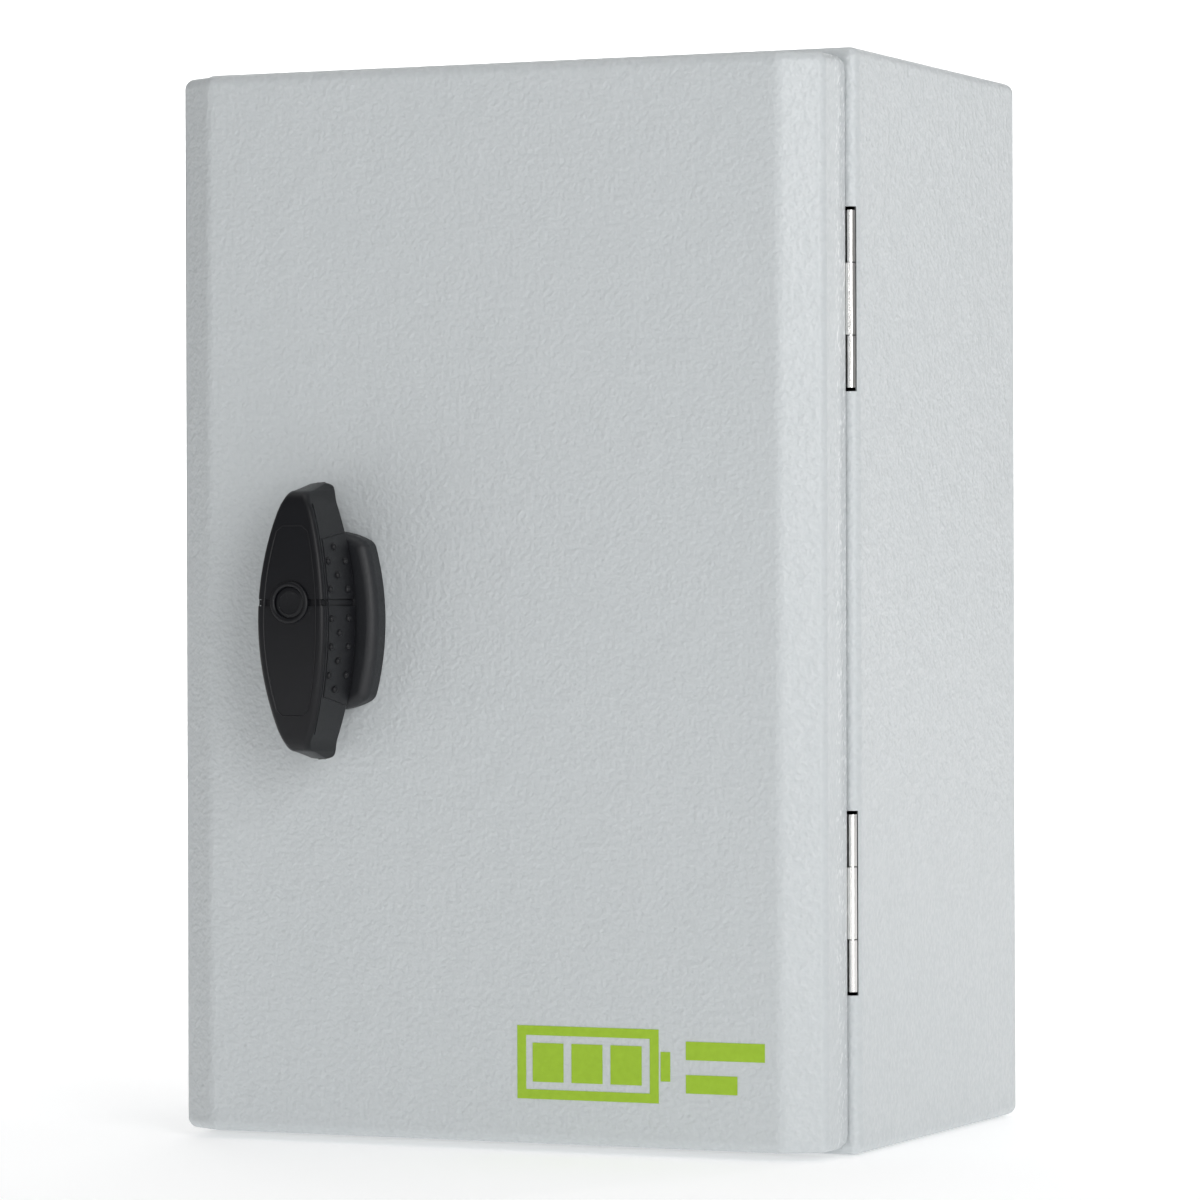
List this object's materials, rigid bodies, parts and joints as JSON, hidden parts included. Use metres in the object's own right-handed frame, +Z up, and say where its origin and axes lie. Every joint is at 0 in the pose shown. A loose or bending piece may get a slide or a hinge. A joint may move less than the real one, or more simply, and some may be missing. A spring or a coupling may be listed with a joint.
{
  "type": "wall-mounted battery switch box",
  "caption": "Small wall-mounted steel box with a hinged door and turning wing handle, holding breakers, changeover contactors and terminals for a battery system.",
  "frame": {"origin": "centre of the four wall holes, on the outside of the back wall", "axes": "+Z up, -Y towards the front (the door), +X to the right seen from the front"},
  "size_m": [0.2, 0.1791, 0.3],
  "materials": {
    "light_grey_powder_coat": "fine-textured light grey powder coat",
    "galvanised_steel": "galvanised sheet",
    "zinc_fasteners": "bright zinc plate",
    "bright_hinge_metal": "polished and chromed",
    "sealing_foam": "foamed-in-place polyurethane",
    "black_handle_plastic": "fine matt moulding",
    "grey_device_plastic": "matt moulding",
    "blue_plastic": "matt moulding",
    "green_plastic": "green and yellow earth marking",
    "brown_wire": "wire insulation",
    "black_wire": "wire insulation",
    "grey_wire": "wire insulation",
    "green_print": "screen print"
  },
  "bodies": {
    "door": {"door_panel": "light_grey_powder_coat", "door_gasket": "sealing_foam", "door_symbol": "green_print", "door_earth_stud": "zinc_fasteners", "door_earth_nut": "zinc_fasteners", "handle_base": "black_handle_plastic", "lock_bush": "zinc_fasteners", "lock_nut": "zinc_fasteners", "hinge_upper_door_half": "bright_hinge_metal", "hinge_lower_door_half": "bright_hinge_metal", "hinge_door_studs": "zinc_fasteners", "hinge_door_nuts": "zinc_fasteners"},
    "handle": {"handle_grip": "black_handle_plastic", "handle_lock_ring": "black_handle_plastic", "handle_lock_cap": "black_handle_plastic", "handle_spindle": "zinc_fasteners", "latch_cam": "zinc_fasteners", "cam_bolt": "zinc_fasteners"},
    "toggle_left": {"breaker_left_toggle": "black_handle_plastic"},
    "toggle_right": {"breaker_right_toggle": "black_handle_plastic"},
    "dial": {"relay_dial": "grey_device_plastic"},
    "enclosure": {"enclosure_body": "light_grey_powder_coat", "gland_gasket": "sealing_foam", "gland_plate": "galvanised_steel", "gland_studs": "zinc_fasteners", "gland_nuts": "zinc_fasteners", "plate_studs": "zinc_fasteners", "mounting_plate": "galvanised_steel", "plate_nuts": "zinc_fasteners", "din_rail_upper": "zinc_fasteners", "din_rail_middle": "zinc_fasteners", "din_rail_lower": "zinc_fasteners", "rail_screws": "zinc_fasteners", "breaker_left": "grey_device_plastic", "breaker_right": "grey_device_plastic", "contactor_left": "grey_device_plastic", "contactor_right": "grey_device_plastic", "relay_case": "grey_device_plastic", "device_screws": "zinc_fasteners", "terminals_phase": "grey_device_plastic", "terminals_neutral": "blue_plastic", "terminals_earth": "green_plastic", "terminal_end_stops": "grey_device_plastic", "terminal_screws": "zinc_fasteners", "wiring_duct": "grey_device_plastic", "wiring_duct_cover": "grey_device_plastic", "wires_brown": "brown_wire", "wires_black": "black_wire", "wires_grey": "grey_wire", "wires_blue": "blue_plastic", "wires_earth": "green_plastic", "earth_lug": "zinc_fasteners", "earth_stud": "zinc_fasteners", "earth_nut": "zinc_fasteners", "hinge_upper_body_half": "bright_hinge_metal", "hinge_lower_body_half": "bright_hinge_metal", "hinge_pins": "bright_hinge_metal", "hinge_body_screws": "zinc_fasteners"}
  },
  "joints": [
    {"name": "door_hinge", "type": "hinge", "parent": "enclosure", "child": "door", "pos_m": [0.0978, -0.1272, 0], "axis": [0, 0, 1], "range_deg": [0, 120]},
    {"name": "handle_turn", "type": "hinge", "parent": "door", "child": "handle", "pos_m": [-0.0465, -0.15, 0], "axis": [0, 1, 0], "range_deg": [0, 90]},
    {"name": "toggle_left_tilt", "type": "hinge", "parent": "enclosure", "child": "toggle_left", "pos_m": [-0.027, -0.064, 0.0825], "axis": [1, 0, 0], "range_deg": [0, 60]},
    {"name": "toggle_right_tilt", "type": "hinge", "parent": "enclosure", "child": "toggle_right", "pos_m": [0.027, -0.064, 0.0825], "axis": [1, 0, 0], "range_deg": [0, 60]},
    {"name": "dial_turn", "type": "hinge", "parent": "enclosure", "child": "dial", "pos_m": [0.06325, -0.066, -0.0025], "axis": [0, 1, 0], "range_deg": [-135, 135]}
  ]
}
